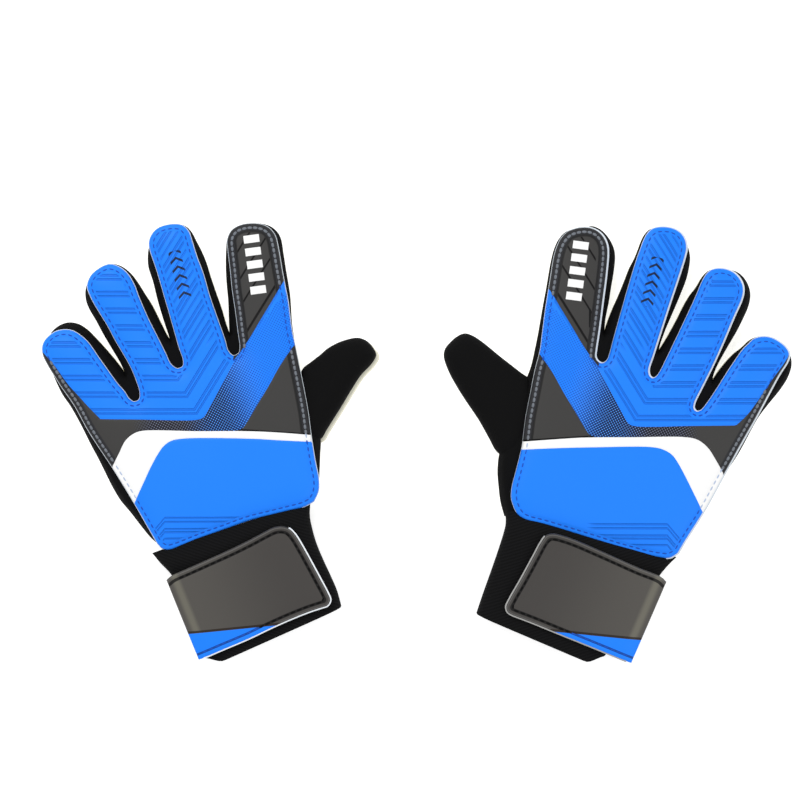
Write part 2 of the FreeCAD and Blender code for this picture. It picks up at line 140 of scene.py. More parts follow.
RIGHT = {
    "mirror": -1,
    "at": (88.0, -3.444),
    "back": [
        (-42.5, -51), (-46, -45), (-55, -30.8), (-65.5, -11.8), (-74, 3.5), (-81.5, 16.7), (-92.7, 37.6),
        (-97, 44.5), (-98, 48), (-96.5, 51.2), (-93, 54.2), (-89, 56.2), (-85, 56.7), (-80.5, 55.5),
        (-78, 53.2), (-75, 50.2), (-71.5, 45.2), (-67.5, 39.2), (-61.5, 29.7), (-57, 23.2), (-54, 19.8),
        (-51.6, 19.4), (-50.2, 21.2), (-50.6, 24), (-54, 31), (-60, 43), (-65, 54.2), (-70.5, 67.2),
        (-74, 75), (-75, 79), (-74.8, 82.4), (-73.3, 85.7), (-70.5, 88.6), (-67, 90.2), (-63, 90.7),
        (-59.5, 90), (-56.8, 87.7), (-54.4, 83.4), (-52.6, 79), (-50.3, 73.7), (-44, 60.2), (-37.5, 46.7),
        (-34, 39.7), (-32, 36.8), (-30, 35.9), (-28.3, 37.2), (-27.7, 40.2), (-30, 47.7), (-34, 60.2),
        (-38.2, 73.2), (-43.5, 89.2), (-46, 97.5), (-46.7, 101.2), (-46, 105.2), (-44, 108.4), (-40, 110.7),
        (-34, 111.4), (-30, 110.5), (-27.5, 108.2), (-25.6, 104.7), (-24, 100.4), (-22.5, 96.2), (-19, 85),
        (-14, 67.7), (-10.5, 55.2), (-8.6, 48), (-7.2, 44.8), (-4.8, 43.4), (-2.4, 44.6), (-1.2, 46.9),
        (-1.5, 50.4), (-3, 60.4), (-4.9, 75.2), (-6.5, 87.7), (-7.4, 98.5), (-7, 102.7), (-5.5, 106.2),
        (-3, 109), (1, 110.9), (6, 111.1), (9.5, 110.3), (12.7, 108.9), (16, 105.2), (18.2, 100.2),
        (19.6, 94.2), (20.6, 87.7), (21.8, 80.2), (23.4, 70.2), (25, 57.7), (26, 50.2), (28.5, 40.2),
        (31, 27.7), (33.2, 16.2), (35.2, 1.3), (37.7, -9), (40.2, -19), (40.4, -24), (39, -28.6),
    ],
    "wrist": [
        (39, -28.6), (37, -32), (33.4, -34.4), (25, -36.6), (11, -40.8), (0, -44.2), (-14, -48.6),
        (-26, -51.8), (-34, -53.3), (-38.6, -53.4), (-42.5, -51),
    ],
    "body": [
        [(-41.3, -52.3), (-47, -44.5), (-53.6, -35), (-65.3, -14.6), (-73.6, -2), (-83.8, 16.5), (-88.7, 23),
         (-94.6, 30.3), (-98.3, 36), (-100.4, 42.2), (-100, 47.4), (-98, 51.4), (-94, 55.2), (-88.7, 57),
         (-84.5, 57), (-80.5, 55.6), (-75.8, 51.4), (-72.3, 48.7), (-68.4, 44.7), (-64.4, 39.7),
         (-60.6, 34)],
        [(-60.6, 34), (-61.2, 37.5), (-63.1, 42.4), (-68.4, 52), (-73, 59.9), (-76.3, 66.5), (-78.7, 72),
         (-79.8, 77.4), (-79.2, 81.6), (-77, 86), (-73.7, 89.1), (-69.7, 90.5), (-63.5, 91.1), (-58.8, 89.8),
         (-55.8, 86.6), (-53.8, 83.2), (-52.2, 80.8), (-50, 78), (-47.3, 73.6), (-43.4, 65.8), (-39.5, 58.6),
         (-35.8, 52.4), (-33.5, 49.1)],
        [(-33.5, 49.1), (-34.6, 53.5), (-37.4, 61.2), (-40.8, 69.1), (-44.7, 78.3), (-47.7, 86.2),
         (-49.2, 93), (-49.5, 97), (-48.7, 101.3), (-46.9, 105.2), (-44.2, 108.7), (-39.8, 111),
         (-34, 111.8), (-29.7, 110.8), (-27, 108.2), (-25, 104.2), (-23.6, 100.3), (-21.8, 96),
         (-19.4, 91.4), (-17.1, 85.5), (-13.9, 77.6), (-10.7, 70.4), (-8, 63.2), (-6.4, 57.8)],
        [(-6.4, 57.8), (-6.9, 65.2), (-8.8, 75), (-9.8, 81.5), (-11.3, 90.8), (-11.8, 98), (-11, 102),
         (-8.7, 106.4), (-5, 110.4), (-0.9, 112.3), (2, 112), (5.5, 111.6), (9.8, 110.8), (13.1, 109.2),
         (16.4, 105.4), (18.6, 100.4), (20.1, 94.2), (21.3, 87.5), (22.3, 81.5), (23.4, 75.7), (24.7, 68.4),
         (26.4, 58.6), (28, 50.7), (30, 42), (33, 34), (37.5, 21), (42, 8), (45.6, -0.5), (46.8, -9.8),
         (46.2, -19), (45.3, -26), (43.4, -33)],
        [(43.4, -33), (34, -33.4), (11, -39.8), (-14, -47.6), (-34, -52.3), (-38, -52.8), (-41.3, -52.3)],
    ],
    "knuckle_edge": [(-99, 49), (-95, 43), (-90, 36.2), (-83, 26), (-77, 18), (-71.5, 12.8)],
    "band_top": [
        (38, 4.2), (20, 5.6), (5, 6.5), (-20, 6.7), (-46, 6.7), (-52, 5.4), (-57, 1.5), (-61, -4.5),
        (-68, -16.5),
    ],
    "band_low": [
        (39, 0.3), (20, 1.2), (0, 1.7), (-29, 1.8), (-34.5, 0.7), (-39.2, -2), (-42.3, -6.2), (-46, -13),
        (-50, -21), (-57, -35),
    ],
    "thumb": [
        (29, 28), (31, 35.6), (35.3, 38.9), (39.9, 42.5), (45.8, 47.1), (51, 51.4), (54.5, 54.2),
        (59.6, 57.5), (63.5, 58.6), (67.5, 56.9), (70.8, 54), (73.2, 51), (73.9, 48), (73.4, 44.8),
        (71.1, 38.9), (67.5, 32.3), (62.9, 25), (56.3, 15.2), (51.5, 6.7), (47, -1), (42.5, -3), (37, -1),
        (31, 10),
    ],
    "latex_shows": 0.0,
    "webs": [((-60.6, 34), (-10, 16)), ((-33.5, 49.1), (-17, 36.5)), ((-6.4, 57.8), (-8.8, 33))],
    "foam_shows": 0.6,
    "foam_lean": -0.4,
    "cuff_left": [(-42.6, -53.6), (-38.5, -57.5), (-33.2, -64), (-26, -77), (-17, -91), (-6.5, -103)],
    "cuff_right": [
        (43.4, -29), (43, -36.8), (44.2, -42), (46.4, -49), (50, -59.5), (54.1, -71), (57.7, -81.6),
    ],
    "hem_bulge": 5.4,
    "strap_top": [
        (-36.3, -65.2), (-33.4, -62.6), (-22, -57.9), (-9.5, -52.3), (0, -48.1), (8.4, -44.5), (15, -42.2),
        (20, -41.1), (23.4, -41.8), (26, -45), (29.6, -51.6), (36, -63.4), (41.8, -73.6), (43.4, -77.2),
        (42.6, -80), (40, -81.6),
    ],
    "strap_low": [(40, -81.6), (30, -85.4), (18.3, -90.2), (0, -97.6), (-18.9, -105.4)],
}
GLOVES = {"left": LEFT, "right": RIGHT}

# Lines between the welded fields that both gloves share
KNUCKLE_LOW_EDGE = [
    (-70, 12.5), (-50, 12.3), (-21.5, 12.1), (-18, 13.2), (-14, 19.5), (-10, 27), (-6, 34.5), (-2.5, 41.5),
]
INDEX_DIAGONAL = [(22.3, 81.6), (16, 70.9), (10, 60.9), (4.5, 51.7), (-3, 41.5)]
PRINT_EDGE = [(29, 52), (20, 38.5), (15, 29.5), (9, 19.5), (4, 11), (1.5, 7.8), (-2, 6.6)]

# Heights above the table, but for the puff, which is how far a panel rises above its edge
BODY_TOP = 12.6
PANEL_EDGE = 14.9
PANEL_PUFF = 2.5
THUMB_LATEX_TOP = 5.2
THUMB_EDGE = 7.0
THUMB_TOP = 13.8
CUFF_HEIGHT = 17.0
STRAP_UNDER = 18.0
STRAP_OVER = 20.5

# Seams: how far in they run, their pitch, the radius and the sides of their thread, and how deep the skin
# dips at a seam and between two fields
SEAM_INSET = 2.3
STRAP_HEM = 2.7
STITCH_PITCH = 3.4
CHAIN_PITCH = 2.7
THREAD = 0.42
CHAIN_THREAD = 0.8
THREAD_SIDES = 6
SEAM_DIP = 0.4
FIELD_GAP_DIP = 0.35

# Strap: width of the bend beside the fold, and the line below which it is blue
FOLD_REACH = 8.0
WEDGE_SLOPE = 0.1
WEDGE_LEVEL = -91.4

# Cuff: rings along its length, points round a ring, and the thickness of its wall
CUFF_ROWS = 46
CUFF_SIDES = 64
CUFF_WALL = 1.8

# Surface marks. A line across the plan is given as a, b and c of a x + b y + c, a turn in degrees
KNUCKLE_SLANT = (-0.8526, 0.5225, -10.72)
WRIST_GROOVE_ENDS = (-1.19, 1.0, -44.0)
# Line of the painted shadow along the white band's top edge
BAND_SHADOW_LINE = (0.064, 1.0, -7.15)
FINGER_GROOVE_PITCH = 8.35
WRIST_GROOVES = (-36.6, -38.6, -42.2, -43.8, -47.0)
INDEX_GROOVES = (67.5, 81.5, 97.0)
INDEX_BASE_GROOVE = 50.0
INDEX_TURN = 97.6
BAR_PITCH = 6.4
MIDDLE_TURN = 103.5
CHEVRON_PITCH = 4.4
RASTER_TURN = 62.0
RASTER_PITCH = 1.15
RIB_TURN = -108.0
RIB_PITCH = 1.5
CUFF_THREAD_PITCH = 0.8

# Cross-section of one stitch: share of its length, thickness, rise
STITCH_SHAPE = [
    (0.0, 0.25, -0.35), (0.12, 0.8, -0.05), (0.5, 1.0, 0.25), (0.88, 0.8, -0.05), (1.0, 0.25, -0.35),
]

# Share of a pad's volume that is filling
PAD_FILL = 0.7
THUMB_FILL = 0.6

# Points handled at a time when distances are measured
CHUNK = 1500

CAMERA_AT = (-0.008, 0.02176, 0.956)
CAMERA_LENS = 85


# ---- plan geometry

def spline(points, step=1.0):
    """A smooth line through the points, cut to even steps."""
    p = np.array(points, float)
    ends = np.vstack([2 * p[0] - p[1], p, 2 * p[-1] - p[-2]])
    t = np.linspace(0, 1, 24, endpoint=False)[:, None]
    dense = []
    for i in range(1, len(ends) - 2):
        a, b, c, d = ends[i - 1 : i + 3]
        ab, bc, cd = (max(np.linalg.norm(q), 1e-6) ** 0.5 for q in (b - a, c - b, d - c))
        leave = (c - b) - (c - a) * bc / (ab + bc) + (b - a) * bc / ab
        reach = (d - c) * bc / cd - (d - b) * bc / (bc + cd) + (c - b)
        start = (2 * t**3 - 3 * t**2 + 1) * b + (t**3 - 2 * t**2 + t) * leave
        dense.append(start + (3 * t**2 - 2 * t**3) * c + (t**3 - t**2) * reach)
    dense.append(p[-1:])
    return even(np.vstack(dense), step)


def even(line, step):
    """A line cut to even steps."""
    length = np.concatenate([[0], np.cumsum(np.linalg.norm(np.diff(line, axis=0), axis=1))])
    count = max(2, int(round(length[-1] / step)) + 1)
    spots = np.linspace(0, length[-1], count)
    return np.column_stack([np.interp(spots, length, line[:, k]) for k in range(2)])


def resampled(line, count):
    """A line with a set number of points."""
    shares = np.linspace(0, len(line) - 1, count)
    return np.column_stack([np.interp(shares, np.arange(len(line)), line[:, k]) for k in range(2)])


def closed(parts):
    """One loop from smooth stretches that meet at corners."""
    return np.vstack([spline(part)[:-1] for part in parts])


def unit(vector):
    """A vector brought to length 1."""
    return np.array(vector, float) / max(np.linalg.norm(vector), 1e-9)


def loop_normals(loop):
    """Unit directions pointing into a clockwise loop."""
    tangent = np.roll(loop, -1, axis=0) - np.roll(loop, 1, axis=0)
    tangent /= np.maximum(np.linalg.norm(tangent, axis=1), 1e-9)[:, None]
    return np.column_stack([tangent[:, 1], -tangent[:, 0]])


def in_chunks(points, work):
    """Results of work on the points, a part of them at a time."""
    points = np.atleast_2d(points)
    starts = range(0, max(len(points), 1), CHUNK)
    return np.concatenate([work(points[start : start + CHUNK]) for start in starts])


def distance(points, line, is_loop=True):
    """How far each point is from a line."""
    a = line if is_loop else line[:-1]
    d = (np.roll(line, -1, axis=0) if is_loop else line[1:]) - a
    squares = np.maximum((d**2).sum(1), 1e-12)

    def nearest(part):
        p = part[:, None, :] - a[None]
        t = np.clip((p * d).sum(2) / squares, 0, 1)
        return np.sqrt(((p - t[..., None] * d) ** 2).sum(2).min(1))

    return in_chunks(points, nearest)


def inside(points, loop):
    """Whether each point lies in a loop."""
    a, b = loop, np.roll(loop, -1, axis=0)
    rise = np.where(np.abs(b[:, 1] - a[:, 1]) < 1e-12, 1e-12, b[:, 1] - a[:, 1])

    def odd_crossings(part):
        x, y = part[:, 0:1], part[:, 1:2]
        crosses = (a[:, 1] > y) != (b[:, 1] > y)
        at = a[:, 0] + (y - a[:, 1]) / rise * (b[:, 0] - a[:, 0])
        return (crosses & (x < at)).sum(1) % 2 == 1

    return in_chunks(points, odd_crossings)


def beside(line, shifts):
    """Copies of an open line moved to its sides."""
    tangent = np.gradient(line, axis=0)
    tangent /= np.linalg.norm(tangent, axis=1)[:, None]
    side = np.column_stack([-tangent[:, 1], tangent[:, 0]])
    return [line + side * shift for shift in shifts]


def grid_in(loop, step, margin, lines):
    """A triangular grid of points that keeps clear of a loop's edge and of the lines across it."""
    low, high = loop.min(0), loop.max(0)
    rows = []
    for k, y in enumerate(np.arange(low[1], high[1], step * 0.866)):
        xs = np.arange(low[0] + (k % 2) * step / 2, high[0], step)
        rows.append(np.column_stack([xs, np.full(len(xs), y)]))
    grid = np.vstack(rows)
    grid = grid[inside(grid, loop)]
    grid = grid[distance(grid, loop) > margin]
    for line in lines:
        grid = grid[distance(grid, line, False) > 1.2]
    return grid


def fill(loop, step, rings, lines=()):
    """Triangles that fill a loop, with rows of points along its edge and along the lines across it."""
    extra = []
    normals = loop_normals(loop)
    for depth in rings:
        row = loop + normals * depth
        extra.append(row[distance(row, loop) > 0.94 * depth])
    edges = [(i, (i + 1) % len(loop)) for i in range(len(loop))]
    points = [loop]
    count = len(loop)
    for line in lines:
        kept = line[inside(line, loop) & (distance(line, loop) > 0.3)]
        if len(kept) > 1:
            edges += [(count + i, count + i + 1) for i in range(len(kept) - 1)]
            points.append(kept)
            count += len(kept)
            extra += beside(kept, (-0.9, -0.45, 0.45, 0.9))
    extra.append(grid_in(loop, step, max(rings) + step * 0.5, lines))
    rest = np.vstack(extra)
    rest = rest[inside(rest, loop)]
    for line in lines:
        rest = rest[distance(rest, line, False) > 0.3]
    points = np.vstack(points + [rest])
    made = geometry.delaunay_2d_cdt([Vector(p) for p in points], edges, [], 1, 1e-4)
    verts = np.array([tuple(v) for v in made[0]])
    faces = np.array([f[:3] for f in made[2]])
    a, b, c = verts[faces[:, 0]], verts[faces[:, 1]], verts[faces[:, 2]]
    turn = (b - a)[:, 0] * (c - a)[:, 1] - (b - a)[:, 1] * (c - a)[:, 0]
    faces[turn < 0] = faces[turn < 0][:, ::-1]
    faces = faces[np.abs(turn) > 1e-6]
    return verts, faces[inside(verts[faces].mean(1), loop)]


def border(faces):
    """Directed edges that only one triangle has."""
    once = {(f[k], f[(k + 1) % 3]) for f in faces.tolist() for k in range(3)}
    return [e for e in once if (e[1], e[0]) not in once]


def rounded(depth, radius):
    """How far a rounded edge lies under the flat at a depth inwards."""
    d = np.clip(depth, 0, radius)
    return radius - np.sqrt(np.maximum(radius**2 - (radius - d) ** 2, 0))


def smooth_step(value, low, high):
    """Rises smoothly from 0 to 1 between low and high."""
    t = np.clip((value - low) / (high - low), 0, 1)
    return t * t * (3 - 2 * t)


# ---- meshes

class Layer:
    """A mesh under construction: points in mm, faces, a material per face, and each point's place on the
    plan and depth inside the outline."""

    def __init__(self):
        self.points = []
        self.faces = []
        self.materials = []
        self.plan = []
        self.depth = []
        self.count = 0

    def add(self, points, faces, materials, depth=None):
        points = np.asarray(points, float)
        base = self.count
        self.points.append(points)
        self.plan.append(points[:, :2])
        depth = np.zeros(len(points)) if depth is None else depth
        self.depth.append(depth if depth.ndim > 1 else np.column_stack([depth, depth]))
        self.faces += [tuple(int(i) + base for i in f) for f in faces]
        self.materials += [materials] * len(faces) if isinstance(materials, str) else list(materials)
        self.count += len(points)
        return base

    def skirt(self, above, below, edges, material):
        """Faces that join two rows of points along the directed edges."""
        self.faces += [(above[b], above[a], below[a], below[b]) for a, b in edges]
        self.materials += [material] * len(edges)

    def tube(self, rings, material, is_loop=True):
        """Faces that join rings or rows of points, one after another."""
        bases = [self.add(ring, [], material) for ring in rings]
        size = len(rings[0])
        last = size if is_loop else size - 1
        for a, b in zip(bases, bases[1:]):
            self.faces += [(a + i, a + (i + 1) % size, b + (i + 1) % size, b + i) for i in range(last)]
            self.materials += [material] * last


def sheet_between(layer, plan, faces, depth, top, low, rows, kinds, row_kinds=None, low_kind=None):
    """A pad: a top, a rim of rows given as (outward, drop below the top), and a bottom if low is given. The
    rim and the bottom have the top's material unless they are given their own."""
    row_kinds = row_kinds or [kinds] * len(rows)
    low_kind = low_kind or kinds
    base = layer.add(np.column_stack([plan, top]), faces, kinds, depth)
    edges = border(faces)
    outward = {}
    for a, b in edges:
        d = unit(plan[b] - plan[a])
        for v in (a, b):
            outward.setdefault(v, []).append((d[1], -d[0]))
    rim = sorted(outward)
    spot = {v: i for i, v in enumerate(rim)}
    normal = np.array([np.mean(outward[v], axis=0) for v in rim])
    normal /= np.maximum(np.linalg.norm(normal, axis=1), 0.3)[:, None]
    above = {v: base + v for v in rim}
    for (out, drop), kind in zip(rows, row_kinds):
        start = layer.add(np.column_stack([plan[rim] + normal * out, top[rim] - drop]), [], kind)
        below = {v: start + spot[v] for v in rim}
        layer.skirt(above, below, edges, kind)
        above = below
    if low is not None:
        start = layer.add(np.column_stack([plan, low]), faces[:, ::-1], low_kind)
        layer.skirt(above, {v: start + v for v in rim}, edges, low_kind)


def stitch(layer, start, end, radius, material):
    """One thread stitch lying between two points."""
    start, end = np.array(start, float), np.array(end, float)
    direction = unit(end - start)
    side = unit(np.cross(direction, (0, 0, 1.0)))
    up = np.cross(side, direction)
    turns = np.arange(THREAD_SIDES) * 2 * math.pi / THREAD_SIDES
    rings = []
    for share, size, rise in STITCH_SHAPE:
        centre = start + (end - start) * share + up * radius * rise
        ring = side * np.cos(turns)[:, None] + up * 0.7 * np.sin(turns)[:, None]
        rings.append(centre + ring * radius * size)
    first = layer.count
    layer.tube(rings, material)
    last = layer.count - THREAD_SIDES
    layer.faces += [tuple(range(first, first + THREAD_SIDES))[::-1], tuple(range(last, layer.count))]
    layer.materials += [material] * 2


# ---- zones: which body carries a point

def finger_place(name, plan):
    """How far along a finger from its knuckle, and how far to the side, each plan point lies."""
    knuckle, tip = np.array(FINGERS[name][0]), np.array(FINGERS[name][1])
    direction = unit(tip - knuckle)
    rel = plan - knuckle
    return rel @ direction, np.abs(rel @ np.array([direction[1], -direction[0]]))


def zone_names(plan, webs):
    """The zone of each plan point of the hand and fingers. The webs are lines that run up the gaps between
    the fingers, from the little finger's to the index's."""
    passed = np.zeros(len(plan), int)
    for start, direction in webs:
        rel = plan - np.array(start)
        passed += rel[:, 0] * direction[1] > rel[:, 1] * direction[0]
    owner = np.array(["little", "ring", "middle", "index"])[passed]
    names = np.full(len(plan), "hand", dtype="<U16")
    for name in FINGERS:
        distance_out, side = finger_place(name, plan)
        near = (owner == name) & (distance_out > FINGER_START) & (side < FINGER_SIDE)
        names[near] = np.where(distance_out[near] > SEGMENT_SPLIT[name], name + "_far", name + "_near")
    return names


def thumb_zones(plan):
    far = (plan - np.array(THUMB_JOINT[0])) @ np.array(THUMB_JOINT[1]) > THUMB_SPLIT
    return np.where(far, "thumb_far", "thumb_near")


class Glove:
    """One glove: its outlines, its place in the scene, and the bodies that its pieces are tied to."""

    def __init__(self, side):
        self.side = side
        self.shape = GLOVES[side]
        self.mirror = self.shape["mirror"]
        self.at = self.shape["at"]
        self.back = closed([self.shape["back"], self.shape["wrist"]])
        self.knuckle_edge = np.vstack([spline(self.shape["knuckle_edge"]), spline(KNUCKLE_LOW_EDGE)])
        self.diagonal = spline(INDEX_DIAGONAL)
        self.print_edge = spline(PRINT_EDGE)
        self.band_top = spline(self.shape["band_top"])
        self.band_low = spline(self.shape["band_low"])
        self.fold = np.array([self.shape["strap_low"][-1], self.shape["strap_top"][0]], float)
        along_fold = unit(self.fold[0] - self.fold[1])
        self.from_fold = np.array([-along_fold[1], along_fold[0]])

    def hand_zones(self, plan):
        return zone_names(plan, self.shape["webs"])

    def lines(self):
        return [self.knuckle_edge, self.diagonal, self.print_edge, self.band_top, self.band_low]

    def world(self, points):
        """Points of the plan, in mm, as points of the scene, in metres."""
        p = np.asarray(points, float)
        x = p[:, 0] * self.mirror + self.at[0]
        y = p[:, 1] + self.at[1]
        return np.column_stack([x, y, p[:, 2]]) / 1000.0

    def blend(self, obj, bodies, point, direction, ends):
        """Works out the two ends of a bend along a direction of the plan, then only bakes the piece's place
        into its mesh. The bodies are not used.
        """
        spots = [(*(np.array(point) + np.array(direction) * end), 2.0) for end in ends]
        first, last = (tuple(spot) for spot in self.world(spots))
        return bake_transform(obj)

    def carry(self, obj, zone):
        """Ties a piece to the body of its zone where it has one; a piece at a joint only has its place baked
        into its mesh.
        """
        if zone in ("cuff", "strap"):
            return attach(obj, self.side + "_" + zone)
        if zone == "wrist":
            return self.blend(obj, ("hand", "cuff"), *WRIST)
        if zone == "strap_root":
            return self.blend(obj, ("cuff", "strap"), self.fold.mean(0), self.from_fold, STRAP_BEND)
        if not zone.endswith(("_near", "_far")):
            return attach(obj, self.side + "_hand")
        name, part = zone.rsplit("_", 1)
        near = part == "near"
        if name == "thumb":
            hinge = THUMB_ROOT if near else THUMB_JOINT
        else:
            point, tip, first, second = FINGERS[name]
            hinge = (point, unit(np.array(tip) - np.array(point)), first if near else second)
        bodies = ("hand", name + "_proximal") if near else (name + "_proximal", name + "_distal")
        return self.blend(obj, bodies, *hinge)


def placed(name, data):
    """A new object in the scene."""
    obj = bpy.data.objects.new(name, data)
    bpy.context.scene.collection.objects.link(obj)
    return obj


def vertex_normals(points, faces):
    """Smooth normals of a whole layer, so that its pieces show no seam between them."""
    normals = np.zeros_like(points)
    for size in {len(f) for f in faces}:
        some = np.array([f for f in faces if len(f) == size])
        for k in range(1, size - 1):
            a, b, c = points[some[:, 0]], points[some[:, k]], points[some[:, k + 1]]
            turn = np.cross(b - a, c - a)
            for column in range(size):
                np.add.at(normals, some[:, column], turn)
    length = np.linalg.norm(normals, axis=1)
    length[length < 1e-12] = 1
    return normals / length[:, None]


MATERIALS = {}


def make_pieces(glove, layer, label, zones_of):
    """Splits a layer into one object per zone and passes each to the glove's carry. The zones come from a
    function of the faces' middles, or are one name."""
    plan, depth = np.vstack(layer.plan), np.vstack(layer.depth)
    world = glove.world(np.vstack(layer.points))
    faces = layer.faces if glove.mirror > 0 else [f[::-1] for f in layer.faces]
    normals = vertex_normals(world, faces)
    if isinstance(zones_of, str):
        zones = np.full(len(faces), zones_of)
    else:
        zones = zones_of(np.array([plan[list(f)].mean(0) for f in faces]))
    made = {}
    for zone in sorted({str(z) for z in zones}):
        picked = np.flatnonzero(zones == zone)
        used = sorted({v for i in picked for v in faces[i]})
        index = {v: i for i, v in enumerate(used)}
        name = f"{glove.side}_{label}_{zone}"
        mesh = bpy.data.meshes.new(name)
        mesh.from_pydata(world[used].tolist(), [], [[index[v] for v in faces[i]] for i in picked])
        kinds = sorted({layer.materials[i] for i in picked})
        for kind in kinds:
            mesh.materials.append(MATERIALS[kind])
        mesh.polygons.foreach_set("material_index", [kinds.index(layer.materials[i]) for i in picked])
        mesh.polygons.foreach_set("use_smooth", [True] * len(picked))
        corners = np.empty(len(mesh.loops), int)
        mesh.loops.foreach_get("vertex_index", corners)
        for title, values in (("plan", plan), ("edge", depth)):
            uv = mesh.uv_layers.new(name=title)
            uv.data.foreach_set("uv", values[used][corners].astype(np.float32).ravel())
        mesh.normals_split_custom_set_from_vertices(normals[used].tolist())
        mesh.update()
        made[zone] = placed(name, mesh)
        glove.carry(made[zone], zone)
    return made


def stands_for(obj, slot, *nodes, fill=None):
    """Hides the CAD nodes that a piece shows. Its material slot and its filling are not used."""
    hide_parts(*nodes)


def segment(zone):
    """The CAD name of a finger zone: finger_proximal or finger_distal."""
    name, part = zone.rsplit("_", 1)
    return name + ("_proximal" if part == "near" else "_distal")


# ---- materials

class Shader:
    """Builds one procedural material from small sums on the plan position."""

    def __init__(self, name, rough, specular):
        material = bpy.data.materials.new(name)
        material.use_nodes = True
        self.tree = material.node_tree
        self.shader = self.tree.nodes["Principled BSDF"]
        self.shader.inputs["Roughness"].default_value = rough
        self.shader.inputs["Specular IOR Level"].default_value = specular
        self.plan = self.uv("plan")
        self.x, self.y = self.split(self.plan)
        MATERIALS[name] = material

    def uv(self, title):
        node = self.tree.nodes.new("ShaderNodeUVMap")
        node.uv_map = title
        return node.outputs["UV"]

    def split(self, vector):
        node = self.tree.nodes.new("ShaderNodeSeparateXYZ")
        self.tree.links.new(vector, node.inputs[0])
        return node.outputs["X"], node.outputs["Y"]

    def depth(self):
        """How far inside the outline, in mm."""
        return self.split(self.uv("edge"))[0]

    def put(self, socket, value):
        """Joins another node's result to a socket, or sets a plain value."""
        if isinstance(value, bpy.types.NodeSocket):
            self.tree.links.new(value, socket)
        else:
            socket.default_value = value

    def op(self, kind, a, b=0.0):
        node = self.tree.nodes.new("ShaderNodeMath")
        node.operation = kind
        self.put(node.inputs[0], a)
        self.put(node.inputs[1], b)
        return node.outputs[0]

    def add(self, a, b):
        return self.op("ADD", a, b)

    def times(self, *values):
        product = values[0]
        for value in values[1:]:
            product = self.op("MULTIPLY", product, value)
        return product

    def most(self, a, b):
        return self.op("MAXIMUM", a, b)

    def line_sum(self, a, b, c):
        """a x + b y + c"""
        return self.add(self.add(self.times(self.x, a), self.times(self.y, b)), c)

    def ramp(self, value, low, high):
        """Rises from 0 to 1 between low and high."""
        node = self.tree.nodes.new("ShaderNodeMapRange")
        node.interpolation_type = "SMOOTHSTEP"
        self.put(node.inputs["Value"], value)
        self.put(node.inputs["From Min"], low)
        self.put(node.inputs["From Max"], high)
        return node.outputs["Result"]

    def along(self, degrees):
        """Distance across the plan in a direction."""
        turn = math.radians(degrees)
        return self.line_sum(math.cos(turn), math.sin(turn), 0.0)

    def wave(self, value, period):
        return self.op("SINE", self.times(value, 2 * math.pi / period))

    def near(self, value, centre, half_width, soft):
        """1 where a value lies close to a centre."""
        return self.ramp(self.op("ABSOLUTE", self.add(value, -centre)), half_width + soft, half_width)

    def near_any(self, value, centres, half_width, soft):
        """1 where a value lies close to any of the centres."""
        lines = 0.0
        for centre in centres:
            lines = self.most(lines, self.near(value, centre, half_width, soft))
        return lines

    def stripes(self, value, period, phase, half_width, soft):
        """1 on thin lines that repeat every period."""
        shifted = self.times(self.add(value, -phase), 1.0 / period)
        away = self.op("ABSOLUTE", self.add(self.op("FRACT", self.add(shifted, 0.5)), -0.5))
        return self.ramp(self.times(away, period), half_width + soft, half_width)

    def mix(self, amount, a, b):
        node = self.tree.nodes.new("ShaderNodeMix")
        node.data_type = "RGBA"
        self.put(node.inputs[0], amount)
        self.put(node.inputs[6], a)
        self.put(node.inputs[7], b)
        return node.outputs[2]

    def noise(self, scale, detail=3.0):
        node = self.tree.nodes.new("ShaderNodeTexNoise")
        self.put(node.inputs["Vector"], self.plan)
        node.inputs["Scale"].default_value = scale
        node.inputs["Detail"].default_value = detail
        return node.outputs["Fac"]

    def finish(self, colour, height, strength, reach):
        """Sets the colour, and the relief that shows at a given strength over a reach in metres."""
        self.put(self.shader.inputs["Base Color"], colour)
        bump = self.tree.nodes.new("ShaderNodeBump")
        bump.inputs["Strength"].default_value = strength
        bump.inputs["Distance"].default_value = reach
        self.put(bump.inputs["Height"], height)
        self.tree.links.new(bump.outputs["Normal"], self.shader.inputs["Normal"])


BLUE = (0.012, 0.205, 0.93, 1)
# Darker blue painted into the grooves of the blue panels: painted shade
GROOVE_SHADE_BLUE = (0.008, 0.12, 0.62, 1)
NIGHT_BLUE = (0.006, 0.045, 0.24, 1)
GREY = (0.046, 0.045, 0.044, 1)
DARK = (0.007, 0.007, 0.007, 1)
SHADED = (0.01, 0.012, 0.018, 1)
BLACK = (0.0035, 0.0035, 0.0037, 1)
WHITE = (0.86, 0.86, 0.86, 1)
CREAM = (0.84, 0.82, 0.68, 1)

# Materials with nothing drawn on them: name, colour, roughness
PLAIN_MATERIALS = [
    ("white_band", WHITE, 0.45),
    ("foam_edge", (0.72, 0.78, 0.84, 1), 0.9),
    ("blue_thread", (0.006, 0.075, 0.45, 1), 0.6),
    ("pale_thread", (0.42, 0.5, 0.66, 1), 0.6),
    ("chain_thread", (0.15, 0.165, 0.19, 1), 0.55),
    ("left_piping", (0.8, 0.84, 0.88, 1), 0.5),
    ("right_piping", (0.36, 0.36, 0.35, 1), 0.5),
]


